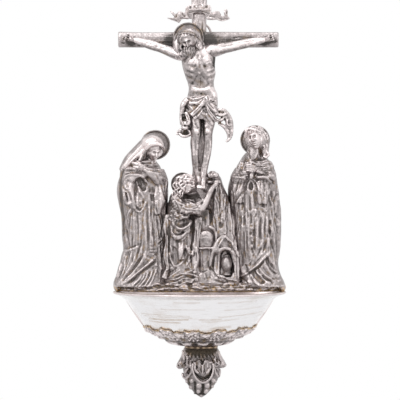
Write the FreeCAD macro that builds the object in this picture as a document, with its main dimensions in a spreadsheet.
"""Wall stoup for holy water, silver, with a Calvary group standing on its rim.

Frame: +Z up, millimetres. The wall is the plane Y = 0 and the object stands in front of it, at
negative Y. The origin is on the wall, in the middle of the bowl's rim. +X is the viewer's right.

A half-round bowl closes against a flat back plate. Under it hang a cast calyx and a finial, drawn
up by one stud. Cast half-round figures and a rock mound stand on the ground ledge and are screwed
through the back plate. The cross stands off the plate on spacers and carries the corpus, the
scroll and, on its back, the lug of the hanging ring, which is the one piece that swings.
"""

import FreeCAD, Part
import math
import os
import Sketcher

Vector = FreeCAD.Vector

SIZES = {
    # bowl, rim and back plate
    "rim_radius": 70.0,          # outside of the rim moulding
    "rim_wire_width": 1.6,       # how far the moulding stands out from the flange
    "rim_height": 2.0,           # height of the moulding and of the flange's edge
    "flange_width": 7.2,         # out-turned lip of the bowl
    "flange_slope": 2.6,         # how far the lip rises outwards
    "bowl_wall": 1.4,
    "girdle_radius": 45.2,       # bowl where the calyx leaves begin
    "girdle_drop": 28.8,
    "foot_radius": 14.0,         # flat bottom of the bowl
    "bowl_depth": 42.6,
    "plate_thickness": 2.0,
    "plate_half_width": 58.0,
    "plate_top": 70.0,
    "plate_corner": 12.0,
    "tongue_half_width": 8.0,    # strip of the plate that backs the finial
    "tongue_drop": 70.0,
    "seat_gap": 0.1,             # solder gap between shells that fit round each other
    # calyx and finial
    "calyx_wall": 1.5,
    "calyx_overhang": 1.8,       # how far the leaf tips stand above the girdle
    "leaf_notch_width": 9.0,
    "leaf_notch_depth": 4.6,
    "finial_shift": 1.4,         # the finial hangs a little to the right of the bowl's axis
    "collar_radius": 13.4,
    "collar_height": 1.8,
    "skirt_top_radius": 14.4,
    "skirt_radius": 20.2,
    "skirt_height": 14.6,
    "skirt_core": 8.0,           # solid part of the skirt above its hanging leaves
    "bud_radius": 15.2,
    "bud_height": 32.0,
    "tongue_wall": 1.1,          # thickness of the rounded tongues round the bud
    "tongue_length": 15.0,
    "berry_radius": 2.4,
    "berry_height": 1.3,
    "stud_radius": 2.2,
    "stud_forward": 8.0,         # stud axis in front of the plate
    "stud_bite": 12.0,           # how far the stud goes into the bud
    "nut_across_flats": 8.0,
    "nut_height": 3.0,
    "washer_radius": 5.2,
    "washer_height": 0.8,
    "thread_gap": 0.06,
    # ground ledge
    "ledge_end_room": 4.0,       # from the end of the ledge out to the edge of the rim
    "ledge_front_room": 3.0,     # from the front of the ledge to the edge of the rim
    "ledge_depth": 30.0,
    "ledge_height": 5.0,
    "ledge_end_rise": 4.5,
    # cross
    "beam_section": 12.6,        # height of the beam and width of the upright
    "cross_thickness": 7.0,
    "cross_standoff": 7.0,       # gap between the back plate and the cross
    "cross_top": 240.0,
    "beam_centre": 202.4,
    "beam_length": 129.0,
    "cross_chamfer": 1.2,
    "socket_depth": 3.0,         # how far the foot goes into the ledge
    "spacer_radius": 3.0,
    "lower_spacer_height": 20.0,
    "upper_spacer_height": 60.0,
    "screw_radius": 1.2,
    "screw_head_radius": 2.3,
    "screw_head_height": 1.1,
    "screw_bite": 5.5,
    # figures: every one stands on the ledge and fills a box of these sides
    "mary_width": 44.5,
    "mary_height": 122.0,
    "mary_depth": 26.0,
    "john_width": 44.0,
    "john_height": 125.0,
    "john_depth": 26.0,
    "magdalene_width": 20.6,
    "magdalene_height": 87.0,
    "magdalene_depth": 27.0,
    "mound_width": 36.0,
    "mound_height": 91.0,
    "mound_depth": 24.0,
    "corpus_height": 128.0,      # soles to crown of the head
    "corpus_depth": 15.0,
    "corpus_sole": 81.0,         # height of the lower foot above the rim
    "arm_reach": 59.0,           # middle of the body to the finger tips
    "casting_wall": 3.0,
    "halo_thickness": 1.0,
    "halo_radius": 12.0,
    "small_halo_radius": 9.2,
    "neck_back": 8.0,            # the halos stand this far in front of the wall
    "nail_radius": 0.6,
    "nail_head_radius": 1.3,
    "nail_head_height": 0.9,
    # small pieces
    "scroll_length": 49.5,
    "scroll_height": 8.6,
    "scroll_thickness": 1.0,
    "scroll_centre": 226.0,
    "scroll_droop": 4.4,
    "scroll_lift": 4.0,          # how far its waves stand out beside the upright
    "skull_radius": 6.0,
    "jar_radius": 4.4,
    "jar_height": 17.0,
    "niche_radius": 6.2,
    "niche_floor": 13.4,
    # hanging ring and its lug
    "ring_radius": 9.2,          # middle of the ring's band
    "ring_band": 2.0,
    "ring_depth": 1.8,
    "ring_bar_radius": 0.95,
    "ring_bar_half": 4.2,        # straight bar, middle to the start of the corner
    "ring_corner": 1.6,
    "ring_from_wall": 6.2,
    "pivot_height": 199.2,
    "bore_gap": 0.08,
    "knuckle_radius": 2.0,
    "knuckle_length": 6.4,
    "lug_width": 15.0,
    "lug_height": 8.0,
    "lug_thickness": 1.0,
    "rivet_radius": 0.9,
    "rivet_length": 3.4,
}

doc = FreeCAD.newDocument("holy_water_stoup")
sheet = doc.addObject("Spreadsheet::Sheet", "sizes")
for row, (alias, number) in enumerate(SIZES.items(), start=1):
    sheet.set(f"A{row}", alias)
    sheet.set(f"B{row}", str(number))
    sheet.setAlias(f"B{row}", alias)
doc.recompute()


# ---------------------------------------------------------------- lengths that know their cell

class Dim:
    """A length: its number now, and the sheet expression that keeps it up to date."""

    def __init__(self, value, text):
        self.value = value
        self.text = text

    def __float__(self):
        return self.value

    def __add__(self, other):
        other = as_dim(other)
        return Dim(self.value + other.value, f"({self.text} + {other.text})")

    def __sub__(self, other):
        other = as_dim(other)
        return Dim(self.value - other.value, f"({self.text} - {other.text})")

    def __rsub__(self, other):
        return as_dim(other) - self

    def __mul__(self, other):
        other = as_dim(other)
        return Dim(self.value * other.value, f"({self.text} * {other.text})")

    def __neg__(self):
        return Dim(-self.value, f"(-1 * {self.text})")

    __radd__ = __add__
    __rmul__ = __mul__


def as_dim(number):
    """Turn a plain number into a Dim and leave a Dim as it is."""
    return number if isinstance(number, Dim) else Dim(float(number), repr(float(number)))


def size(alias):
    """The driving dimension of that name."""
    return Dim(float(sheet.get(alias)), f"sizes.{alias}")


def value(alias):
    """The plain number of a driving dimension."""
    return float(sheet.get(alias))


def bind(target, field, dim):
    """Tie a property of a document object to the sheet."""
    target.setExpression(field, as_dim(dim).text)


# ------------------------------------------------------------------- sketches and revolved parts

def new_body(name, across=0.0, forward=0.0, up=0.0):
    """A PartDesign body with its own place, forward being away from the wall."""
    body = doc.addObject("PartDesign::Body", name)
    body.Label = name
    bind(body, "Placement.Base.x", across)
    bind(body, "Placement.Base.y", -as_dim(forward))
    bind(body, "Placement.Base.z", up)
    return body


def new_sketch(body, role="XZ_Plane", turn=0.0):
    """A sketch on one origin plane of its body, turned about its own upright axis."""
    sketch = body.newObject("Sketcher::SketchObject", f"{body.Name}_sketch")
    plane = next(item for item in body.Origin.OriginFeatures if item.Role == role)
    sketch.AttachmentSupport = [(plane, "")]
    sketch.MapMode = "FlatFace"
    upright = FreeCAD.Rotation(Vector(0, 1, 0), turn)
    sketch.AttachmentOffset = FreeCAD.Placement(Vector(0, 0, 0), upright)
    return sketch


def fix_point(sketch, item, corner, point):
    """Hold one vertex of a sketch at a pair of lengths from the sketch's origin."""
    for kind, dim in zip(("DistanceX", "DistanceY"), point):
        dim = as_dim(dim)
        index = sketch.addConstraint(Sketcher.Constraint(kind, -1, 1, item, corner, dim.value))
        sketch.setExpression(f"Constraints[{index}]", dim.text)


def draw_outline(sketch, *steps):
    """Close an outline: a step of one point is a corner, of two an arc's middle and its end."""
    flat = [[Vector(float(x), float(y), 0) for x, y in step] for step in steps]
    items = []
    for before, now in zip([flat[-1]] + flat[:-1], flat):
        if len(now) == 1:
            curve = Part.LineSegment(before[-1], now[0])
        else:
            curve = Part.Arc(before[-1], now[0], now[1])
        items.append(sketch.addGeometry(curve, False))
    for place, (step, item) in enumerate(zip(steps, items)):
        after = items[(place + 1) % len(items)]
        end = end_of(sketch, item, flat[place][-1])
        start = end_of(sketch, after, flat[place][-1])
        sketch.addConstraint(Sketcher.Constraint("Coincident", item, end, after, start))
        fix_point(sketch, item, end, step[-1])
        if len(step) == 2:
            dot = sketch.addGeometry(Part.Point(flat[place][0]), True)
            fix_point(sketch, dot, 1, step[0])
            sketch.addConstraint(Sketcher.Constraint("PointOnObject", dot, 1, item))


def end_of(sketch, item, point):
    """1 or 2: which end of a sketch curve lies at a point."""
    return min((1, 2), key=lambda corner: sketch.getPoint(item, corner).distanceToPoint(point))


def draw_circle(sketch, across, up, radius):
    """A circle held by its centre and its radius."""
    across, up, radius = as_dim(across), as_dim(up), as_dim(radius)
    centre = Vector(across.value, up.value, 0)
    item = sketch.addGeometry(Part.Circle(centre, Vector(0, 0, 1), radius.value), False)
    fix_point(sketch, item, 3, (across, up))
    index = sketch.addConstraint(Sketcher.Constraint("Radius", item, radius.value))
    sketch.setExpression(f"Constraints[{index}]", radius.text)


def turn_profile(body, angle, *steps):
    """Revolve an outline about the body's upright axis; half turns go round the front."""
    sketch = new_sketch(body)
    draw_outline(sketch, *steps)
    feature = body.newObject("PartDesign::Revolution", f"{body.Name}_turned")
    feature.Profile = sketch
    feature.ReferenceAxis = (sketch, ["V_Axis"])
    feature.Angle = angle
    feature.Reversed = True
    sketch.Visibility = False
    return sketch, feature


def pad(body, sketch, length):
    """Pad a sketch towards its own normal."""
    feature = body.newObject("PartDesign::Pad", f"{body.Name}_pad")
    feature.Profile = sketch
    bind(feature, "Length", length)
    return feature


def pocket(body, sketch, length, flip=False):
    """Cut a sketch's shape out of the body, and make sure that the cut takes something away."""
    doc.recompute()
    before = body.Shape.Volume
    feature = body.newObject("PartDesign::Pocket", f"{body.Name}_pocket")
    feature.Profile = sketch
    feature.Reversed = flip
    bind(feature, "Length", length)
    doc.recompute()
    if body.Shape.Volume > before - 1e-6:
        raise RuntimeError(f"a pocket of {body.Label} cuts nothing")
    return feature


def polar_pattern(body, feature, axis_sketch, angle, count):
    """Repeat a feature round the body's upright axis, from its right end over the front."""
    pattern = body.newObject("PartDesign::PolarPattern", f"{body.Name}_pattern")
    pattern.Originals = [feature]
    pattern.Axis = (axis_sketch, ["V_Axis"])
    pattern.Reversed = True
    pattern.Angle = angle
    pattern.Occurrences = count
    body.Tip = pattern
    return pattern


# ------------------------------------------------------------------------- cast and modelled parts

def add_casting(name, shape):
    """A modelled piece whose shape is worked out here from the sheet's values."""
    feature = doc.addObject("Part::Feature", name)
    feature.Label = name
    feature.Shape = shape
    return feature


def lofted(rings):
    """Closed solid whose faceted skin joins flat rings that have equally many corners."""
    faces = []
    for low, high in zip(rings, rings[1:]):
        for here in range(len(low)):
            after = (here + 1) % len(low)
            faces.append(facet(low[here], low[after], high[after]))
            faces.append(facet(low[here], high[after], high[here]))
    faces.append(facet(*rings[0]))
    faces.append(facet(*rings[-1]))
    shell = Part.Shell(faces)
    shell.sewShape()
    solid = Part.Solid(shell)
    if solid.Volume < 0:
        solid.reverse()
    return solid


def facet(*corners):
    """A flat face with straight sides."""
    return Part.Face(Part.makePolygon(list(corners) + [corners[0]]))


def limb(points, radii, sides=8, flat=1.0):
    """A round or flattened bar that swells and narrows along a bent path."""
    rings = []
    for place, point in enumerate(points):
        before = points[max(place - 1, 0)]
        after = points[min(place + 1, len(points) - 1)]
        along = (after - before).normalize()
        level = along.cross(Vector(0, 1, 0.02)).normalize()
        rise = along.cross(level)
        ring = []
        for side in range(sides):
            angle = 2 * math.pi * side / sides
            wide = level * (radii[place] * math.cos(angle))
            deep = rise * (radii[place] * flat * math.sin(angle))
            ring.append(point + wide + deep)
        rings.append(ring)
    return lofted(rings)


def egg(centre, across, forward, up, lean=0.0, sides=12, levels=7):
    """A faceted egg: half sizes along the three axes, leaning to the right by degrees."""
    rings = []
    for level in range(levels):
        angle = math.pi * (level + 0.5) / levels - math.pi / 2
        ring = []
        for side in range(sides):
            turn = 2 * math.pi * side / sides
            x = across * math.cos(angle) * math.cos(turn)
            y = forward * math.cos(angle) * math.sin(turn)
            ring.append(Vector(x, y, up * math.sin(angle)))
        rings.append(ring)
    solid = lofted(rings)
    solid.rotate(Vector(0, 0, 0), Vector(0, 1, 0), lean)
    solid.translate(centre)
    return solid


def box_between(low, high):
    """A box between two opposite corners."""
    return Part.makeBox(high.x - low.x, high.y - low.y, high.z - low.z, low)


def bar_forward(radius, length, across, forward, up):
    """A round bar that starts at a distance in front of the wall and runs away from it."""
    start = Vector(across, -forward, up)
    return Part.makeCylinder(radius, length, start, Vector(0, -1, 0))


def joined(first, *others):
    """One solid out of overlapping ones, with flush facets merged."""
    return only_solid(first.fuse(list(others)).removeSplitter())


def only_solid(shape):
    """The largest solid of a result, without the crumbs that a cut may leave."""
    return max(shape.Solids, key=lambda solid: solid.Volume)


class Block:
    """The box that a modelled piece fills; its points are given as shares of its sides."""

    def __init__(self, left, right, foot, height, back, depth):
        self.left = left
        self.right = right
        self.foot = foot
        self.height = height
        self.back = back
        self.depth = depth

    def at(self, across, forward, up):
        """The point at these shares of the width, the depth and the height."""
        x = self.left + across * (self.right - self.left)
        return Vector(x, -self.back - forward * self.depth, self.foot + up * self.height)

    def robe(self, stations, folds, ripple, sway=0.0, inset=0.0, sides=26):
        """Half-round draped body with a flat back; its folds run up and down the front.

        Each station holds shares: height, left edge, right edge, depth.
        """
        rings = []
        for up, left, right, forward in stations:
            x_left = self.at(left, 0, 0).x + inset
            x_right = self.at(right, 0, 0).x - inset
            middle = (x_left + x_right) / 2
            half = (x_right - x_left) / 2
            deep = forward * self.depth - inset
            ring = []
            for side in range(sides + 1):
                angle = math.pi * side / sides
                wave = ripple * math.cos(folds * angle + sway * up)
                edge = 1 - 0.5 * math.cos(angle) ** 8
                reach = deep * abs(math.sin(angle)) ** 0.5 * (1 + wave * edge - ripple)
                x = middle + half * math.cos(angle)
                ring.append(Vector(x, -self.back - reach, self.foot + up * self.height))
            rings.append(ring)
        return lofted(rings)


def hollowed(figure, block, stations, screws):
    """Take out a figure's hollow back, leaving solid pads round its screws."""
    span = [station for station in stations if 0.05 < station[0] < 0.8]
    core = block.robe(span, 0, 0.0, inset=value("casting_wall"), sides=12)
    pads = [bar_forward(value("screw_radius") + value("casting_wall"), block.depth, x,
                        block.back, z) for x, z in screws]
    return only_solid(figure.cut(core.cut(pads)))


# ------------------------------------------------------------------------ shared levels and places

plate_front = size("plate_thickness")
cross_back = plate_front + size("cross_standoff")
cross_front = cross_back + size("cross_thickness")
half_post = size("beam_section") * 0.5
through_all = 2 * float(cross_front) + 2 * value("corpus_depth")
ledge_top = value("ledge_height")
calyx_bottom = size("bowl_depth") + size("seat_gap") + size("calyx_wall")
collar_bottom = calyx_bottom + size("collar_height")
bud_top = collar_bottom + size("skirt_core")
stud_place = (value("finial_shift"), value("plate_thickness") + value("stud_forward"))

post_edge = value("beam_section") / 2
post_gap = 0.2
magdalene_right = -post_edge + 2.0
mound_left = magdalene_right + 0.3
mary_right = magdalene_right - value("magdalene_width") - 0.2
john_left = mound_left + value("mound_width") - 9.0


def figure_block(left, right, name, back="plate_thickness"):
    """The box of a figure that stands on the ledge against the back plate."""
    return Block(left, right, ledge_top, value(f"{name}_height"), value(back),
                 value(f"{name}_depth"))


mary = figure_block(mary_right - value("mary_width"), mary_right, "mary")
john = figure_block(john_left, john_left + value("john_width"), "john")
magdalene = figure_block(magdalene_right - value("magdalene_width"), magdalene_right, "magdalene")
mound = figure_block(mound_left, mound_left + value("mound_width"), "mound")
corpus = Block(-value("arm_reach"), value("arm_reach"), value("corpus_sole"),
               value("corpus_height"), float(cross_front), value("corpus_depth"))


corpus_scale = value("corpus_height") / 128.0
mary_scale = value("mary_height") / 122.0
john_scale = value("john_height") / 125.0
magdalene_scale = value("magdalene_height") / 87.0


def scaled(factor, *lengths):
    """Lengths of a figure's limbs at its usual height, grown to its present one."""
    return tuple(factor * length for length in lengths)


def screw_places(block, *shares):
    """Where screws enter a block: across and up, from shares of its sides."""
    return [(block.at(across, 0, up).x, block.at(across, 0, up).z) for across, up in shares]


mary_screws = screw_places(mary, (0.55, 0.18), (0.55, 0.46))
john_screws = screw_places(john, (0.55, 0.16), (0.55, 0.45))
magdalene_screws = screw_places(magdalene, (0.36, 0.45))
mound_screws = screw_places(mound, (0.52, 0.45))
figure_screw_places = mary_screws + john_screws + magdalene_screws + mound_screws
ledge_half = value("rim_radius") - value("ledge_end_room")
ledge_screw_places = [(side * ledge_half * 0.8, ledge_top * 0.5)
                      for side in (-1, 1)]
cross_screw_places = [(0.0, value("lower_spacer_height")), (0.0, value("upper_spacer_height"))]


def screw_hole(place, length, forward=0.0):
    """The clear way that a screw of the back plate needs."""
    radius = value("screw_radius") + value("thread_gap")
    return bar_forward(radius, length, place[0], forward, place[1])


# ------------------------------------------------------------------------- bowl, rim and back plate

def bowl_wall(inset):
    """Corners down the bowl's wall from its lip; inset moves them to the inside of the wall."""
    edge = size("rim_radius") - size("rim_wire_width") - inset
    neck = edge - size("flange_width") + inset * 0.4
    girdle = size("girdle_radius") - inset
    foot = size("foot_radius") - inset * 0.3
    bend = -size("rim_height") - size("flange_slope") + inset
    bottom = -size("bowl_depth") + inset
    side = ((neck + girdle) * 0.5 + 0.8, (bend - size("girdle_drop")) * 0.5)
    belly = ((girdle + foot) * 0.5, bottom * 0.88)
    return edge, (neck, bend), side, (girdle, -size("girdle_drop")), belly, (foot, bottom)


def make_bowl():
    """Half-round bowl with a wide out-turned lip; its open back is closed by the plate."""
    body = new_body("bowl", forward=plate_front)
    edge, neck, side, girdle, belly, foot = bowl_wall(0.0)
    lip, neck_in, side_in, girdle_in, belly_in, foot_in = bowl_wall(size("bowl_wall"))
    turn_profile(body, 180, ((edge, 0.0),), ((edge, -size("rim_height")),), (neck,),
                 (side, girdle), (belly, foot), ((0, foot[1]),), ((0, foot_in[1]),), (foot_in,),
                 (belly_in, girdle_in), (side_in, neck_in), ((lip, 0.0),))
    hole = new_sketch(body, "XY_Plane")
    draw_circle(hole, size("finial_shift"), -size("stud_forward"),
                size("stud_radius") + size("thread_gap"))
    pocket(body, hole, size("bowl_depth") + 1.0)
    return body


def make_rim_wire():
    """Half-round moulding soldered round the edge of the lip."""
    body = new_body("rim_wire", forward=plate_front)
    inner = size("rim_radius") - size("rim_wire_width")
    turn_profile(body, 180, ((inner, -size("rim_height")),),
                 ((size("rim_radius"), size("rim_height") * -0.5), (inner, 0.0)))
    return body


def make_back_plate():
    """Flat plate that closes the bowl and carries every casting by screws from behind."""
    body = new_body("back_plate")
    sketch = new_sketch(body)
    wide = size("plate_half_width")
    corner = size("plate_corner")
    rim, neck, side, girdle, belly, _ = bowl_wall(0.0)
    tongue = size("tongue_half_width")
    shoulder = size("plate_top") - corner
    right = [
        ((tongue, -size("bowl_depth")),),
        (belly, girdle),
        (side, neck),
        ((rim, -size("rim_height")),),
        ((rim, 0.0),),
        ((wide, ledge_top + value("ledge_end_rise")),),
        ((wide, shoulder),),
        ((wide - corner * 0.293, size("plate_top") - corner * 0.293),
         (wide - corner, size("plate_top"))),
    ]
    left = mirrored(right)
    start = [((-tongue, -size("tongue_drop")),), ((tongue, -size("tongue_drop")),)]
    draw_outline(sketch, *start, *right, *left)
    pad(body, sketch, plate_front)
    holes = new_sketch(body)
    places = figure_screw_places + ledge_screw_places + cross_screw_places
    for across, up in places:
        draw_circle(holes, across, up, size("screw_radius") + size("thread_gap"))
    pocket(body, holes, plate_front, flip=True)
    sinks = new_sketch(body)
    for across, up in places:
        draw_circle(sinks, across, up, size("screw_head_radius") + size("thread_gap"))
    pocket(body, sinks, size("screw_head_height"), flip=True)
    return body


def mirrored(steps):
    """The same steps on the left, walked back the other way."""
    points = [step[-1] for step in steps]
    result = [((-points[-1][0], points[-1][1]),)]
    for place in range(len(steps) - 1, 0, -1):
        x, y = points[place - 1]
        if len(steps[place]) == 2:
            middle = steps[place][0]
            result.append(((-middle[0], middle[1]), (-x, y)))
        else:
            result.append(((-x, y),))
    return result


# ------------------------------------------------------------------------------ calyx and finial

def make_calyx():
    """Cast cup of leaves under the bowl: its upper edge is cut into lobes, one at the front."""
    body = new_body("calyx", forward=plate_front)
    gap = size("seat_gap")
    wall = size("calyx_wall")
    girdle = size("girdle_radius") + gap
    foot = size("foot_radius")
    waist = ((girdle + foot) * 0.5, (size("bowl_depth") + gap) * -0.88)
    lip = -size("girdle_drop") + size("calyx_overhang")
    lean = size("calyx_overhang") * 0.8
    inner_bottom = -size("bowl_depth") - gap
    axis, _ = turn_profile(
        body, 180,
        ((0, inner_bottom),),
        ((foot, inner_bottom),),
        (waist, (girdle, -size("girdle_drop"))),
        ((girdle + lean, lip),),
        ((girdle + lean + wall * 0.7, lip),),
        ((girdle + wall, -size("girdle_drop") - wall),),
        ((waist[0], waist[1] - wall * 1.3), (foot + wall, -calyx_bottom)),
        ((0, -calyx_bottom),))
    notch = new_sketch(body, "YZ_Plane", turn=-15.0)
    half = size("leaf_notch_width") * 0.5
    low = lip - size("leaf_notch_depth")
    draw_outline(notch, ((-half, lip + 1.0),), ((-half, lip),), ((half * -0.35, low + 1.6), (0, low)),
                 ((half * 0.35, low + 1.6), (half, lip)), ((half, lip + 1.0),))
    cut = pocket(body, notch, size("rim_radius"), flip=True)
    polar_pattern(body, cut, axis, 150, 6)
    doc.recompute()
    hole = new_sketch(body, "XY_Plane")
    draw_circle(hole, size("finial_shift"), -size("stud_forward"),
                size("stud_radius") + size("thread_gap"))
    pocket(body, hole, calyx_bottom + 1.0)
    return body


def bore_for_stud(body, depth):
    """A round hole up the finial's stud, from the body's top plane down."""
    hole = new_sketch(body, "XY_Plane")
    draw_circle(hole, 0.0, -size("stud_forward"), size("stud_radius") + size("thread_gap"))
    pocket(body, hole, depth)


def make_finial_collar():
    """Rounded ring between the calyx and the finial."""
    body = new_body("finial_collar", size("finial_shift"), plate_front, -calyx_bottom)
    inner = size("collar_radius") - size("collar_height") * 0.5
    turn_profile(body, 180, ((0, 0.0),), ((inner, 0.0),),
                 ((size("collar_radius"), size("collar_height") * -0.5),
                  (inner, -size("collar_height"))),
                 ((0, -size("collar_height")),))
    bore_for_stud(body, size("collar_height"))
    return body


def make_leaf_skirt():
    """Bell of six pointed leaves, hanging free below a solid core."""
    body = new_body("finial_leaf_skirt", size("finial_shift"), plate_front, -collar_bottom)
    top = size("skirt_top_radius")
    wide = size("skirt_radius")
    tall = size("skirt_height")
    core = size("skirt_core")
    axis, _ = turn_profile(
        body, 180,
        ((0, 0.0),),
        ((top, 0.0),),
        ((top * 0.62 + wide * 0.38 - 0.8, tall * -0.5), (wide, -tall + 1.2)),
        ((wide - 0.9, -tall),),
        ((top * 0.55 + wide * 0.45 - 1.0, (core + tall) * -0.5), (size("bud_radius") - 0.5, -core)),
        ((0, -core),))
    notch = new_sketch(body, "YZ_Plane")
    draw_outline(notch, ((-7.5, -tall - 1.0),), ((0, -core - 0.8),), ((7.5, -tall - 1.0),))
    cut = pocket(body, notch, wide + 5.0, flip=True)
    polar_pattern(body, cut, axis, 180, 4)
    doc.recompute()
    bore_for_stud(body, core + 1.0)
    return body


def make_bud():
    """Seed bud with a pointed lower end and staggered rows of round berries."""
    body = new_body("bud_core", size("finial_shift"), plate_front, -bud_top)
    wide = size("bud_radius")
    tall = size("bud_height")
    turn_profile(
        body, 180,
        ((0, 0.0),),
        ((wide - 0.8, 0.0),),
        ((wide, tall * -0.28), (wide * 0.93, tall * -0.52)),
        ((wide * 0.60, tall * -0.80), (0, -tall)))
    bore_for_stud(body, size("stud_bite"))
    doc.recompute()
    return add_casting("finial_bud", joined(body.Shape, *berries()))


def berries():
    """Low eight-sided domes on the bud's lower half, each leaning out and down."""
    top = Vector(value("finial_shift"), -value("plate_thickness"), -float(bud_top))
    domes = []
    for drop, reach, tilt in ((0.64, 0.835, 0.45), (0.78, 0.625, 0.65), (0.895, 0.375, 0.85)):
        radius = value("bud_radius") * reach
        count = int(math.pi * radius / (2.35 * value("berry_radius")))
        for place in range(count):
            angle = math.pi * (place + 0.5) / count
            out = Vector(math.cos(angle), -math.sin(angle), -tilt).normalize()
            seat = top + Vector(radius * math.cos(angle), -radius * math.sin(angle),
                                -drop * value("bud_height"))
            wide = value("berry_radius")
            domes.append(limb([seat - out, seat + out * (value("berry_height") * 0.6),
                               seat + out * value("berry_height")],
                              (wide, wide * 0.85, wide * 0.4)))
    return domes


def make_tongues():
    """Shell of six rounded tongues that hang over the bud from under the leaves."""
    body = new_body("finial_tongues", size("finial_shift"), plate_front, -bud_top)
    gap = size("seat_gap")
    wall = size("tongue_wall")
    wide = size("bud_radius") + gap
    tall = size("bud_height")
    long = size("tongue_length")
    start = -4.8
    axis, _ = turn_profile(
        body, 180,
        ((wide + wall, start),),
        ((wide + wall, tall * -0.28), (wide * 0.95 + wall, start - long)),
        ((wide * 0.95, start - long),),
        ((wide + 0.05, tall * -0.28), (wide, start)))
    notch = new_sketch(body, "YZ_Plane")
    draw_outline(notch, ((-7.4, start - long - 1.0),), ((-4.2, start - long * 0.72), (0, start - 5.0)),
                 ((4.2, start - long * 0.72), (7.4, start - long - 1.0)))
    cut = pocket(body, notch, wide + 5.0, flip=True)
    polar_pattern(body, cut, axis, 180, 4)
    return body


def make_stud_set():
    """The stud that draws up the finial, with its nut and washer inside the bowl."""
    x, forward = stud_place
    floor = -value("bowl_depth") + value("bowl_wall")
    nut_bottom = floor + value("washer_height")
    top = nut_bottom + value("nut_height") + 1.0
    bottom = -float(bud_top) - value("stud_bite") + 0.5
    stud = doc.addObject("Part::Cylinder", "finial_stud")
    bind(stud, "Radius", size("stud_radius"))
    stud.Height = top - bottom
    stud.Placement.Base = Vector(x, -forward, bottom)
    stud.Label = "finial_stud"
    bore = Part.makeCylinder(value("stud_radius") + value("thread_gap"), 20,
                             Vector(x, -forward, floor - 5))
    washer = Part.makeCylinder(value("washer_radius"), value("washer_height"),
                               Vector(x, -forward, floor))
    half_flat = value("nut_across_flats") / 2
    corner = half_flat / math.cos(math.pi / 6)
    corners = [Vector(x + corner * math.cos(math.pi * side / 3),
                      -forward + corner * math.sin(math.pi * side / 3), nut_bottom)
               for side in range(6)]
    nut = facet(*corners).extrude(Vector(0, 0, value("nut_height")))
    return [stud, add_casting("finial_washer", only_solid(washer.cut(bore))),
            add_casting("finial_nut", only_solid(nut.cut(bore)))]


# ----------------------------------------------------------------------------------- ground ledge

def ledge_shape():
    """Rocky ground across the back of the bowl, swelling into a rock at either end."""
    back = value("plate_thickness")
    half = ledge_half
    rim = value("rim_radius") - value("ledge_end_room") / 2
    rings = []
    steps = 22
    for step in range(steps + 1):
        x = half * (2 * step / steps - 1)
        room = math.sqrt(rim ** 2 - x ** 2) - value("ledge_front_room")
        front = min(value("ledge_depth") + 1.2 * math.sin(step * 2.1), room)
        end = max(0.0, (abs(x) - half + 5.0) / 5.0)
        top = ledge_top + value("ledge_end_rise") * end
        y = (back, back + front * 0.86, back + front, back + front)
        z = (top, top, top * 0.55, 0.0)
        ring = [Vector(x, -deep, high) for deep, high in zip(y, z)]
        ring.append(Vector(x, -back, 0.0))
        rings.append(ring)
    return lofted(rings)


def make_ledge():
    """The ledge with its socket for the cross and its two screw holes."""
    gap = 0.1
    socket = box_between(Vector(-post_edge - gap, -float(cross_front) - gap,
                                ledge_top - value("socket_depth")),
                         Vector(post_edge + gap, -float(cross_back) + gap, ledge_top + 1))
    holes = [screw_hole(place, value("plate_thickness") + value("screw_bite"))
             for place in ledge_screw_places]
    return add_casting("ground_ledge", only_solid(ledge_shape().cut([socket] + holes)))


# ------------------------------------------------------------------------------------------ cross

def chamfer_long_edges(body, feature, direction):
    """Break the four long edges of a squared timber."""
    doc.recompute()
    names = []
    for number, edge in enumerate(feature.Shape.Edges, start=1):
        along = (edge.Vertexes[-1].Point - edge.Vertexes[0].Point).normalize()
        if abs(along.dot(direction)) > 0.999:
            names.append(f"Edge{number}")
    chamfer = body.newObject("PartDesign::Chamfer", f"{body.Name}_chamfer")
    chamfer.Base = (feature, names)
    bind(chamfer, "Size", size("cross_chamfer"))
    return chamfer


def make_cross_upright():
    """Squared timber from the ledge to above the scroll, notched in front for the beam."""
    body = new_body("cross_upright", forward=cross_back)
    foot = size("ledge_height") - size("socket_depth")
    sketch = new_sketch(body)
    draw_outline(sketch, ((-half_post, foot),), ((half_post, foot),),
                 ((half_post, size("cross_top")),), ((-half_post, size("cross_top")),))
    timber = pad(body, sketch, size("cross_thickness"))
    chamfer_long_edges(body, timber, Vector(0, 0, 1))
    lap = new_sketch(body)
    lap.AttachmentOffset = FreeCAD.Placement(Vector(0, 0, 0), FreeCAD.Rotation())
    bind(lap, "AttachmentOffset.Base.z", size("cross_thickness") * 0.5)
    low = size("beam_centre") - half_post
    high = size("beam_centre") + half_post
    wide = half_post + 1.0
    draw_outline(lap, ((-wide, low),), ((wide, low),), ((wide, high),), ((-wide, high),))
    pocket(body, lap, size("cross_thickness"), flip=True)
    holes = new_sketch(body)
    radius = size("screw_radius") + size("thread_gap")
    draw_circle(holes, 0.0, size("lower_spacer_height"), radius)
    draw_circle(holes, 0.0, size("upper_spacer_height"), radius)
    pocket(body, holes, size("screw_bite"), flip=True)
    rivets = new_sketch(body)
    for side in (-1, 1):
        draw_circle(rivets, rivet_across() * side, size("pivot_height"),
                    size("rivet_radius") + size("thread_gap"))
    pocket(body, rivets, size("rivet_length") - size("lug_thickness") + 0.2, flip=True)
    nails = new_sketch(body)
    nails.AttachmentOffset = FreeCAD.Placement(Vector(0, 0, 0), FreeCAD.Rotation())
    bind(nails, "AttachmentOffset.Base.z", size("cross_thickness") - 4.0)
    draw_circle(nails, foot_nail_place()[0], foot_nail_place()[1],
                size("nail_radius") + size("thread_gap"))
    draw_circle(nails, 0.0, size("scroll_centre"), size("nail_radius") + size("thread_gap"))
    pocket(body, nails, 5.0, flip=True)
    return body


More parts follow.
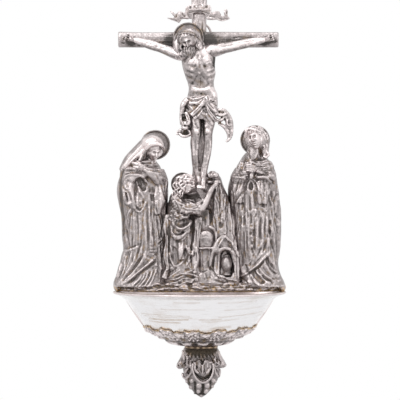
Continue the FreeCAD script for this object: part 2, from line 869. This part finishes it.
def rivet_across():
    """How far the lug's rivets sit from the middle."""
    return size("lug_width") * 0.5 - 2.6


def foot_nail_place():
    """Across and up, where the one nail goes through both feet."""
    return 2.0, value("corpus_sole") + 0.085 * value("corpus_height")


def hand_places():
    """Across and up, where a nail goes through each palm."""
    reach = value("arm_reach") - 5.0
    return [(-reach, value("beam_centre") + 1.4), (reach, value("beam_centre") + 0.6)]


def make_cross_beam():
    """Squared beam, notched behind so that it laps flush with the upright."""
    body = new_body("cross_beam", forward=cross_back)
    half = size("beam_length") * 0.5
    low = size("beam_centre") - half_post
    high = size("beam_centre") + half_post
    sketch = new_sketch(body)
    draw_outline(sketch, ((-half, low),), ((half, low),), ((half, high),), ((-half, high),))
    timber = pad(body, sketch, size("cross_thickness"))
    chamfer_long_edges(body, timber, Vector(1, 0, 0))
    lap = new_sketch(body)
    draw_outline(lap, ((-half_post, low - 1.0),), ((half_post, low - 1.0),),
                 ((half_post, high + 1.0),), ((-half_post, high + 1.0),))
    pocket(body, lap, size("cross_thickness") * 0.5, flip=True)
    nails = new_sketch(body)
    nails.AttachmentOffset = FreeCAD.Placement(Vector(0, 0, 0), FreeCAD.Rotation())
    bind(nails, "AttachmentOffset.Base.z", size("cross_thickness") - 4.0)
    for across, up in hand_places():
        draw_circle(nails, across, up, size("nail_radius") + size("thread_gap"))
    pocket(body, nails, 5.0, flip=True)
    return body


def make_spacers():
    """Two short tubes that hold the cross off the plate."""
    tubes = []
    for x, z in cross_screw_places:
        tube = bar_forward(value("spacer_radius"), value("cross_standoff"), x,
                           value("plate_thickness"), z)
        tubes.append(only_solid(tube.cut(screw_hole((x, z), 20.0))))
    return add_casting("cross_spacers", Part.makeCompound(tubes))


def countersunk_screw(place, length):
    """A flat-headed screw whose head lies flush in the back of the plate."""
    x, z = place
    head = bar_forward(value("screw_head_radius"), value("screw_head_height"), x, 0.0, z)
    shank = bar_forward(value("screw_radius"), length, x, 0.0, z)
    slot = box_between(Vector(x - 0.35, -0.5, z - 3), Vector(x + 0.35, 0.1, z + 3))
    return only_solid(head.fuse(shank).removeSplitter().cut(slot))


def make_screws(name, places, length):
    """A group of equal screws."""
    return add_casting(name, Part.makeCompound([countersunk_screw(p, length) for p in places]))


# ---------------------------------------------------------------------------------------- figures

def channel():
    """The free way behind, beside and round the cross that the castings leave open."""
    return box_between(Vector(-post_edge - post_gap, -float(cross_front) - post_gap, 0),
                       Vector(post_edge + post_gap, 0, value("cross_top")))


def mary_shape():
    """Standing veiled woman, arms crossed on the breast, head bowed to the right."""
    stations = [
        (0.00, 0.02, 0.98, 1.00), (0.05, 0.04, 0.98, 0.97), (0.14, 0.13, 0.99, 0.86),
        (0.24, 0.19, 0.99, 0.84), (0.36, 0.16, 0.99, 0.90), (0.48, 0.13, 0.99, 0.88),
        (0.60, 0.08, 0.98, 0.90), (0.67, 0.09, 0.98, 0.92), (0.73, 0.12, 0.93, 0.88),
        (0.78, 0.18, 0.87, 0.80), (0.83, 0.25, 0.80, 0.68), (0.88, 0.36, 0.77, 0.55),
        (0.92, 0.46, 0.74, 0.42),
    ]
    body = mary.robe(stations, 15, 0.05, sway=3.0)
    veil = egg(mary.at(0.63, 0.48, 0.905), *scaled(mary_scale, 9.0, 8.6, 11.4), lean=14)
    right_arm = limb([mary.at(0.14, 0.66, 0.68), mary.at(0.30, 0.90, 0.69),
                      mary.at(0.48, 0.98, 0.74), mary.at(0.62, 0.92, 0.79)],
                     scaled(mary_scale, 4.4, 4.8, 3.8, 2.2))
    left_arm = limb([mary.at(0.92, 0.62, 0.68), mary.at(0.78, 0.90, 0.70),
                     mary.at(0.58, 1.00, 0.76), mary.at(0.42, 0.95, 0.81)],
                    scaled(mary_scale, 4.0, 4.4, 3.6, 2.0))
    sleeve = limb([mary.at(0.52, 0.92, 0.72), mary.at(0.50, 0.98, 0.60), mary.at(0.47, 0.96, 0.50)],
                  scaled(mary_scale, 5.0, 5.4, 2.6), flat=0.6)
    figure = joined(body, veil, right_arm, left_arm, sleeve)
    return hollowed(figure, mary, stations, mary_screws)


def john_shape():
    """Standing young man in a long mantle, hands clasped low, head raised to the left."""
    stations = [
        (0.00, 0.30, 0.98, 0.96), (0.04, 0.22, 0.99, 0.95), (0.12, 0.17, 0.95, 0.86),
        (0.21, 0.14, 0.96, 0.86), (0.30, 0.10, 0.98, 0.88), (0.40, 0.06, 0.99, 0.90),
        (0.52, 0.03, 0.97, 0.90), (0.60, 0.02, 0.94, 0.92), (0.66, 0.03, 0.92, 0.92),
        (0.71, 0.06, 0.90, 0.88), (0.76, 0.14, 0.88, 0.78), (0.81, 0.19, 0.80, 0.66),
        (0.85, 0.28, 0.72, 0.52), (0.89, 0.40, 0.62, 0.42),
    ]
    body = john.robe(stations, 17, 0.05, sway=-2.0)
    head = egg(john.at(0.50, 0.44, 0.925), *scaled(john_scale, 8.0, 8.4, 9.6), lean=-16)
    left_arm = limb([john.at(0.07, 0.62, 0.68), john.at(0.18, 0.90, 0.67),
                     john.at(0.32, 0.98, 0.70), john.at(0.40, 0.98, 0.73)],
                    scaled(john_scale, 4.6, 5.0, 3.8, 2.4))
    right_arm = limb([john.at(0.88, 0.66, 0.68), john.at(0.70, 0.90, 0.68),
                      john.at(0.54, 0.98, 0.71), john.at(0.42, 0.98, 0.75)],
                     scaled(john_scale, 4.6, 5.0, 3.8, 2.4))
    sleeves = [limb([john.at(across, 0.88, 0.66), john.at(across, 0.97, 0.58),
                     john.at(across + 0.03, 0.92, 0.46)],
                    scaled(john_scale, 5.0, 5.2, 2.2), flat=0.6)
               for across in (0.20, 0.64)]
    figure = joined(body, head, left_arm, right_arm, *sleeves)
    return hollowed(figure, john, stations, john_screws)


def magdalene_shape():
    """Kneeling woman with loose hair, embracing the foot of the cross and looking up."""
    stations = [
        (0.00, 0.02, 1.00, 1.00), (0.08, 0.02, 1.00, 0.96), (0.20, 0.03, 1.00, 0.92),
        (0.32, 0.08, 1.00, 0.90), (0.42, 0.08, 1.00, 0.94), (0.52, 0.02, 1.00, 0.98),
        (0.62, 0.02, 0.98, 0.94), (0.71, 0.01, 0.96, 0.88), (0.78, 0.03, 0.92, 0.80),
        (0.84, 0.16, 0.78, 0.60), (0.88, 0.30, 0.70, 0.50),
    ]
    body = magdalene.robe(stations, 9, 0.05, sway=4.0)
    head = egg(magdalene.at(0.66, 0.55, 0.925), *scaled(magdalene_scale, 7.2, 7.4, 7.6), lean=-30)
    arm = limb([magdalene.at(0.30, 0.80, 0.76), magdalene.at(0.80, 0.98, 0.70),
                magdalene.at(1.32, 1.02, 0.66), magdalene.at(1.52, 0.96, 0.75),
                magdalene.at(1.58, 0.84, 0.84), magdalene.at(1.46, 0.78, 0.90)],
               scaled(magdalene_scale, 4.6, 4.4, 4.0, 3.2, 2.6, 1.8))
    scarf = limb([magdalene.at(0.10, 0.80, 0.60), magdalene.at(0.30, 1.00, 0.54),
                  magdalene.at(0.62, 1.00, 0.52), magdalene.at(0.92, 0.84, 0.60)],
                 scaled(magdalene_scale, 2.4, 3.4, 3.2, 2.0))
    figure = joined(body, head, arm, scarf)
    return hollowed(figure, magdalene, stations, magdalene_screws)


def mound_shape():
    """Rough rock to the right of the cross, with a niche for the jar in its foot."""
    stations = [
        (0.00, 0.00, 0.99, 1.00), (0.08, 0.01, 0.97, 0.98), (0.17, 0.00, 0.93, 0.92),
        (0.27, 0.01, 0.90, 0.90), (0.38, 0.00, 0.86, 0.84), (0.50, 0.00, 0.82, 0.80),
        (0.60, 0.10, 0.79, 0.74), (0.70, 0.24, 0.77, 0.68), (0.78, 0.27, 0.75, 0.66),
        (0.86, 0.27, 0.68, 0.62), (0.94, 0.27, 0.58, 0.58), (0.985, 0.30, 0.50, 0.46),
    ]
    rock = mound.robe(stations, 11, 0.06, sway=9.0, sides=22)
    niche_x, niche_y = jar_place()
    niche = Part.makeCylinder(value("niche_radius"), value("jar_height") - 2.0,
                              Vector(niche_x, niche_y, value("niche_floor")))
    dome = Part.makeSphere(value("niche_radius"),
                           Vector(niche_x, niche_y, value("niche_floor") + value("jar_height") - 2.0))
    return rock, niche.fuse(dome)


def jar_place():
    """Where the jar stands: in the middle of its niche, near the front of the rock."""
    spot = mound.at(0.71, 0.80, 0.0)
    return spot.x, spot.y


def make_figures():
    """Cast figures and rock; each later one is trimmed where it meets those before it."""
    free_way = channel()
    ground = ledge_shape()
    mary_solid = only_solid(mary_shape().cut(ground))
    john_solid = only_solid(john_shape().cut(ground))
    corpus_solid = corpus_shape()
    magdalene_solid = only_solid(magdalene_shape().cut([free_way, mary_solid, corpus_solid]))
    rock, niche = mound_shape()
    rock = only_solid(rock.cut([free_way, niche, john_solid, magdalene_solid, corpus_solid]))
    solids = {"figure_mary": (mary_solid, mary_screws), "figure_john": (john_solid, john_screws),
              "figure_magdalene": (magdalene_solid, magdalene_screws),
              "rock_mound": (rock, mound_screws)}
    pieces = []
    for name, (solid, places) in solids.items():
        holes = [screw_hole(place, value("plate_thickness") + value("screw_bite"))
                 for place in places]
        pieces.append(add_casting(name, only_solid(solid.cut(holes))))
    pieces += make_skull(pieces[-1].Shape, pieces[-2].Shape)
    pieces += make_corpus(corpus_solid)
    return pieces


def make_skull(rock, kneeling):
    """The skull at the foot of the cross and the ointment jar in its niche."""
    centre = mound.at(0.26, 0.90, 0.42)
    wide = value("skull_radius")
    cranium = egg(centre, wide, wide * 0.95, wide, sides=14, levels=8)
    jaw = egg(centre + Vector(-0.6, -wide * 0.3, -wide * 0.8), wide * 0.62, wide * 0.6, wide * 0.6)
    eyes = [egg(centre + Vector(side * wide * 0.38 - 0.5, -wide * 0.95, -wide * 0.28),
                wide * 0.24, wide * 0.3, wide * 0.24, sides=8, levels=5) for side in (-1, 1)]
    skull = joined(cranium, jaw).cut(eyes + [rock, kneeling])
    jar_x, jar_y = jar_place()
    tall = value("jar_height")
    wide = value("jar_radius")
    floor = value("niche_floor")
    profile = [Vector(0, 0, 0), Vector(wide * 0.62, 0, 0), Vector(wide * 0.45, 0, tall * 0.10),
               Vector(wide, 0, tall * 0.52), Vector(wide * 0.62, 0, tall * 0.76),
               Vector(wide * 0.74, 0, tall * 0.84), Vector(wide * 0.2, 0, tall * 0.97),
               Vector(0, 0, tall)]
    jar = facet(*profile).revolve(Vector(0, 0, 0), Vector(0, 0, 1), 360)
    jar.translate(Vector(jar_x, jar_y, floor))
    return [add_casting("skull", only_solid(skull)), add_casting("ointment_jar", only_solid(jar))]


def corpus_shape():
    """Body of the crucified figure: head, trunk and legs in one casting, without its arms."""
    trunk, legs = trunk_and_legs(0.0)
    head = egg(corpus_point(-9.0, 0.62, 0.925), *(6.6 * corpus_scale, 7.0 * corpus_scale,
                                                 9.0 * corpus_scale), lean=-24)
    neck = limb([corpus_point(-1.5, 0.45, 0.85), corpus_point(-7.0, 0.55, 0.91)],
                (5.0 * corpus_scale, 4.2 * corpus_scale))
    return only_solid(joined(trunk, head, neck, *legs).cut(behind_corpus()))


def corpus_point(across, forward, up):
    """A point of the corpus: millimetres across at its usual size, shares of depth and height."""
    return Vector(across * corpus_scale, -corpus.back - forward * corpus.depth,
                  corpus.foot + up * corpus.height)


def behind_corpus():
    """The space of the cross and behind it, which the corpus never enters."""
    far = value("arm_reach") + 20
    return box_between(Vector(-far, -corpus.back, 0), Vector(far, 0, corpus.foot * 5))


def trunk_and_legs(skin):
    """The trunk and the two legs as overlapping solids, grown all round by a skin."""
    trunk_rows = (
        # height share, middle across, half width, depth share
        (0.36, 1.6, 8.6, 0.66), (0.44, 1.8, 9.8, 0.78), (0.52, 2.0, 10.4, 0.80),
        (0.58, 2.2, 10.6, 0.74), (0.64, 1.6, 9.9, 0.70), (0.70, 0.8, 10.8, 0.84),
        (0.76, 0.2, 12.2, 0.96), (0.82, 0.0, 13.2, 0.94), (0.86, -0.4, 12.8, 0.80),
        (0.895, -2.0, 8.0, 0.56),
    )
    sides = 16
    rings = []
    for up, middle, half, forward in trunk_rows:
        centre = corpus_point(middle, forward / 2, up)
        wide = half * corpus_scale + skin
        deep = forward / 2 * corpus.depth + skin
        turns = [2 * math.pi * side / sides for side in range(sides)]
        rings.append([centre + Vector(wide * math.cos(turn), -deep * math.sin(turn), 0)
                      for turn in turns])
    legs = []
    for hip, knee, ankle, toe, bend, lead in ((-3.4, -1.6, 0.2, 1.2, 0.62, 0.06),
                                              (7.2, 6.0, 3.8, 2.6, 0.50, 0.0)):
        path = [corpus_point(hip, 0.38, 0.44),
                corpus_point((hip + knee) / 2, 0.46, 0.40),
                corpus_point(knee, bend, 0.355),
                corpus_point((knee + ankle) / 2, 0.40 + lead, 0.25),
                corpus_point(ankle, 0.28 + lead, 0.12),
                corpus_point(toe, 0.34 + lead, 0.02)]
        radii = [part * corpus_scale + skin for part in (5.4, 5.0, 4.2, 4.0, 2.5, 2.7)]
        legs.append(limb(path, radii, sides=10))
    return lofted(rings), legs


def arm_shape(side):
    """One stretched arm, from the shoulder up to the nailed hand."""
    reach = value("arm_reach")
    palm = hand_places()[0 if side < 0 else 1]
    shoulder = corpus.foot + 0.835 * corpus.height
    front = -corpus.back

    def spot(across, forward, up):
        return Vector(side * across, front - forward * corpus.depth, up)

    def raised(up):
        return shoulder + up * corpus_scale

    path = [spot(reach * 0.153, 0.50, raised(-1.0)), spot(reach * 0.271, 0.44, raised(1.6)),
            spot(reach * 0.424, 0.36, raised(5.6)), spot(reach * 0.576, 0.28, raised(8.2)),
            spot(reach * 0.729, 0.24, raised(10.6)),
            spot(reach - 9.5 * corpus_scale, 0.16, palm[1] - 0.6 * corpus_scale),
            spot(reach - 6.0 * corpus_scale, 0.12, palm[1]),
            spot(reach, 0.16, palm[1] + 1.2 * corpus_scale)]
    return limb(path, scaled(corpus_scale, 4.4, 4.0, 3.6, 2.9, 3.0, 1.9, 2.6, 1.4), sides=10)


def make_corpus(solid):
    """The corpus with its arms, loincloth and nails."""
    nails = [nail_shape(place, corpus.back + 0.30 * corpus.depth) for place in hand_places()]
    foot_nail = nail_shape(foot_nail_place(), corpus.back + 0.62 * corpus.depth)
    wide_nails = [nail_way(place) for place in hand_places() + [foot_nail_place()]]
    solid = only_solid(solid.cut(wide_nails[2]))
    pieces = [add_casting("corpus_body", solid)]
    for side, name in ((-1, "corpus_arm_left"), (1, "corpus_arm_right")):
        arm = arm_shape(side).cut([solid, behind_corpus()] + wide_nails)
        pieces.append(add_casting(name, only_solid(arm)))
    pieces.append(add_casting("loincloth", loincloth_shape()))
    pieces.append(add_casting("hand_nails", Part.makeCompound(nails)))
    pieces.append(add_casting("foot_nail", foot_nail))
    return pieces


def nail_shape(place, head_forward):
    """A round-headed nail that ends inside the cross."""
    x, z = place
    tip = float(cross_front) - 3.8
    shank = bar_forward(value("nail_radius"), head_forward - tip, x, tip, z)
    head = Part.makeCone(value("nail_head_radius"), value("nail_head_radius") * 0.5,
                         value("nail_head_height"), Vector(x, -head_forward, z), Vector(0, -1, 0))
    return only_solid(shank.fuse(head))


def nail_way(place):
    """The hole for a nail, with room above the flesh for its head."""
    x, z = place
    return bar_forward(value("nail_radius") + value("thread_gap"), through_all, x, 0.0, z)


def loincloth_shape():
    """Cloth knotted round the hips, with one end flying out to the right."""
    rows = ((0.395, 0.6, 12.6, 0.90), (0.43, 0.2, 13.6, 0.98), (0.475, 0.2, 14.6, 1.00),
            (0.52, 0.6, 14.4, 0.96), (0.555, 1.6, 12.6, 0.90), (0.585, 2.2, 11.6, 0.82))
    sides = 24
    tuck = 1.5 * corpus_scale
    rings = []
    for up, middle, half, forward in rows:
        ring = []
        for side in range(sides):
            angle = 2 * math.pi * side / sides
            wave = 1 + 0.035 * math.cos(7 * angle + 20 * up)
            x = (middle + half * wave * math.cos(angle)) * corpus_scale
            deep = (forward * corpus.depth + tuck) / 2
            y = -corpus.back + tuck - deep * (1 + wave * math.sin(angle))
            ring.append(Vector(x, y, corpus.foot + up * corpus.height))
        rings.append(ring)
    band = lofted(rings)
    fly = limb([flying(13, 0.50, 0.50), flying(19, 0.42, 0.49), flying(24.5, 0.34, 0.43),
                flying(25.5, 0.34, 0.36), flying(22.0, 0.40, 0.30)],
               scaled(corpus_scale, 3.4, 3.6, 3.2, 3.2, 1.6), sides=10, flat=0.5)
    hang = limb([flying(-12, 0.50, 0.50), flying(-13.6, 0.52, 0.42), flying(-14.6, 0.52, 0.36),
                 flying(-12.5, 0.50, 0.33)], scaled(corpus_scale, 3.4, 3.0, 3.0, 1.4),
                sides=10, flat=0.6)
    knot = egg(flying(8.5, 0.96, 0.545), *scaled(corpus_scale, 3.2, 2.4, 2.6), lean=20,
               sides=10, levels=6)
    trunk, legs = trunk_and_legs(value("seat_gap"))
    return only_solid(joined(band, fly, hang, knot).cut([trunk, *legs, behind_corpus()]))


def flying(across, forward, up):
    """A point of the loincloth, with the distance across given at its usual size."""
    return Vector(across * corpus_scale, -corpus.back - forward * corpus.depth, corpus.foot + up * corpus.height)


# ------------------------------------------------------------------------------ halos and scroll

def make_halos(shapes):
    """Thin discs behind the four heads, each trimmed where its own figure passes through."""
    back = value("neck_back")
    flat = value("halo_thickness")
    plans = (
        ("halo_mary", mary.at(0.765, 0, 0.926), value("halo_radius"), back, ["figure_mary"]),
        ("halo_john", john.at(0.50, 0, 0.934), value("halo_radius"), back, ["figure_john"]),
        ("halo_magdalene", magdalene.at(0.55, 0, 0.94), value("small_halo_radius"), back,
         ["figure_magdalene"]),
        ("halo_corpus", Vector(-9.0 * corpus_scale, 0, corpus.foot + 0.93 * corpus.height),
         value("halo_radius"), float(cross_front), ["corpus_body", "corpus_arm_left"]),
    )
    halos = []
    for name, centre, radius, forward, wearers in plans:
        disc = bar_forward(radius, flat, centre.x, forward, centre.z)
        cut = disc.cut([shapes[wearer] for wearer in wearers])
        halos.append(add_casting(name, only_solid(cut)))
    return halos


def make_scroll():
    """Bare scroll over the head of the cross: a bent ribbon with curled ends, and its pin."""
    half = value("scroll_length") / 2
    tall = value("scroll_height") / 2
    thick = value("scroll_thickness")
    face = float(cross_front)
    rings = []
    steps = 16
    for step in range(steps + 1):
        share = 2 * step / steps - 1
        x = half * share
        rise = value("scroll_centre") - value("scroll_droop") * share ** 2
        wave = math.sin(2.6 * (abs(share) - post_edge / half))
        lift = 0.0 if abs(x) <= post_edge else value("scroll_lift") * wave
        y = -face - lift
        high = tall * (1 - 0.15 * share ** 2)
        rings.append([Vector(x, y, rise - high), Vector(x, y - thick, rise - high),
                      Vector(x, y - thick, rise + high), Vector(x, y, rise + high)])
    scroll = only_solid(lofted(rings).cut(nail_way((0.0, value("scroll_centre")))))
    pin = nail_shape((0.0, value("scroll_centre")), face + thick)
    return [add_casting("titulus_scroll", scroll), add_casting("titulus_pin", pin)]


# ------------------------------------------------------------------------- hanging ring and its lug

def make_ring_lug():
    """Plate riveted behind the crossing, with the knuckle that the ring's bar turns in."""
    back = float(cross_back)
    thick = value("lug_thickness")
    z = value("pivot_height")
    y = -value("ring_from_wall")
    half = value("lug_width") / 2
    plate = box_between(Vector(-half, -back, z - value("lug_height") / 2),
                        Vector(half, -back + thick, z + value("lug_height") / 2))
    start = Vector(-value("knuckle_length") / 2, y, z)
    knuckle = Part.makeCylinder(value("knuckle_radius"), value("knuckle_length"), start,
                                Vector(1, 0, 0))
    web = box_between(Vector(start.x, -back + thick * 0.5, z - value("knuckle_radius")),
                      Vector(-start.x, y, z + value("knuckle_radius")))
    bore = Part.makeCylinder(value("ring_bar_radius") + value("bore_gap"), 40,
                             Vector(-20, y, z), Vector(1, 0, 0))
    holes = [Part.makeCylinder(value("rivet_radius") + value("thread_gap"), 6,
                               Vector(side * float(rivet_across()), -back - 1, z),
                               Vector(0, 1, 0)) for side in (-1, 1)]
    lug = only_solid(joined(plate, knuckle, web).cut([bore] + holes))
    rivets = [Part.makeCylinder(value("rivet_radius"), value("rivet_length"),
                                Vector(side * float(rivet_across()), -back + thick, z),
                                Vector(0, -1, 0)) for side in (-1, 1)]
    return [add_casting("ring_lug", lug), add_casting("ring_lug_rivets", Part.makeCompound(rivets))]


def make_hanging_ring():
    """D-shaped ring: a flat band bent round, and a round bar that turns in the lug."""
    band = value("ring_band") / 2
    deep = value("ring_depth") / 2
    radius = value("ring_radius")
    corner = value("ring_corner")
    bar_half = value("ring_bar_half")
    z_bar = value("pivot_height")
    y = -value("ring_from_wall")
    z_centre = z_bar + corner + math.sqrt((radius - corner) ** 2 - bar_half ** 2)
    middle = Vector(0, y, z_centre)
    turn = 90 - math.degrees(math.atan2(z_centre - z_bar - corner, bar_half))
    bottom = Vector(0, y, z_centre - radius)
    start = flat_section(bottom, band, deep)
    start.rotate(middle, Vector(0, 1, 0), -turn)
    arc = start.revolve(middle, Vector(0, 1, 0), -(360 - 2 * turn))
    pieces = [arc]
    for side in (-1, 1):
        knee = Vector(side * bar_half, y, z_bar + corner)
        section = flat_section(Vector(side * bar_half, y, z_bar), band, deep)
        pieces.append(section.revolve(knee, Vector(0, 1, 0), -side * turn))
    bar = Part.makeCylinder(value("ring_bar_radius"), 2 * bar_half, Vector(-bar_half, y, z_bar),
                            Vector(1, 0, 0))
    return add_casting("hanging_ring", joined(bar, *pieces))


def flat_section(centre, band, deep):
    """Section of the ring's band, standing across the X direction."""
    return facet(centre + Vector(0, -deep, -band), centre + Vector(0, deep, -band),
                 centre + Vector(0, deep, band), centre + Vector(0, -deep, band))


# ------------------------------------------------------------------------------------ the assembly

pieces = [make_bowl(), make_rim_wire(), make_back_plate(), make_calyx(), make_finial_collar(),
          make_leaf_skirt(), make_bud(), make_tongues()]
pieces += make_stud_set()
pieces += [make_ledge(), make_cross_upright(), make_cross_beam(), make_spacers()]
screw_length = value("plate_thickness") + value("screw_bite") - 0.5
cross_screw_length = float(cross_back) + value("screw_bite") - 0.5
pieces.append(make_screws("casting_screws", figure_screw_places + ledge_screw_places, screw_length))
pieces.append(make_screws("cross_screws", cross_screw_places, cross_screw_length))
pieces += make_figures()
doc.recompute()
pieces += make_halos({piece.Label: piece.Shape for piece in pieces})
pieces += make_scroll()
pieces += make_ring_lug()
pieces.append(make_hanging_ring())
doc.recompute()

for item in doc.Objects:
    if "Invalid" in item.State or "Error" in item.State:
        raise RuntimeError(f"{item.Label} is not computed: {item.State}")
for piece in pieces:
    if piece.Shape.isNull() or not piece.Shape.isValid() or not piece.Shape.Solids:
        raise RuntimeError(f"{piece.Label} has no valid solid")

os.makedirs("parts", exist_ok=True)
for piece in pieces:
    piece.Shape.exportStep(f"parts/{piece.Label}.step")
    print(f"{piece.Label:20s} {len(piece.Shape.Solids)} solid(s) {piece.Shape.Volume:10.1f} mm3")
